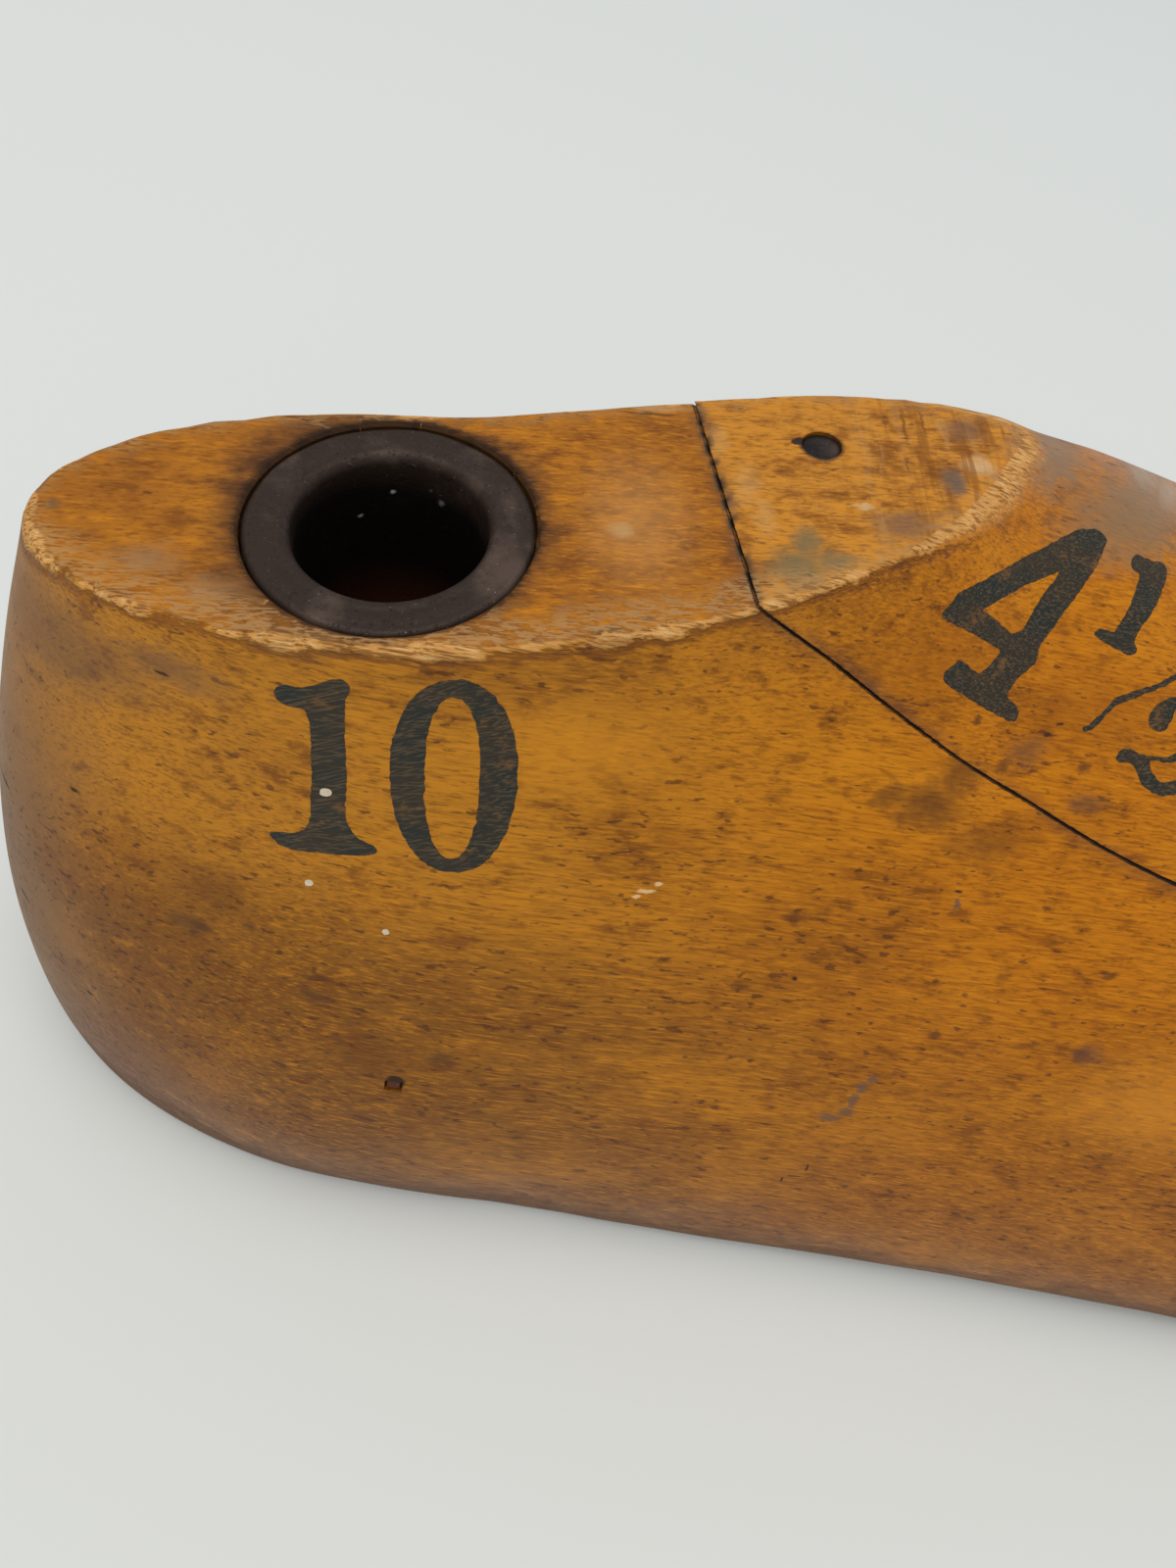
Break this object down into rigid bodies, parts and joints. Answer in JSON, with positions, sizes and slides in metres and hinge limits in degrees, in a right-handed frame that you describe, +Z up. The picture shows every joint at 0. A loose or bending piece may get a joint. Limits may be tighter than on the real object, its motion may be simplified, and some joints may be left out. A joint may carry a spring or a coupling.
{
  "type": "cobbler last",
  "caption": "Wooden shoe last for a right foot, with a steel-lined jack hole in its top plate and a scoop-cut instep block that lifts off.",
  "frame": {"origin": "centre of the bounding box in plan, on the floor that the sole stands on", "axes": "+X along the last from heel to toe, +Y towards its medial side, +Z up"},
  "size_m": [0.2326, 0.0762, 0.0655],
  "materials": {
    "shellacked_maple": "old shellac, satin",
    "shellacked_block_maple": "old shellac, satin",
    "browned_steel": "dark brown patina, worn",
    "steel_wire": "dull grey",
    "birch_dowel": "bare wood"
  },
  "bodies": {
    "last": {"last_body": "shellacked_maple", "thimble": "browned_steel", "tack_stub": "steel_wire", "block_stud": "steel_wire", "guide_dowel": "birch_dowel"},
    "block": {"instep_block": "shellacked_block_maple", "catch_spring": "steel_wire", "spring_pin": "steel_wire"}
  },
  "joints": [
    {"name": "block_lift", "type": "slide", "parent": "last", "child": "block", "axis": [-0.1219, 0, 0.9925], "range_m": [0, 0.06]}
  ]
}
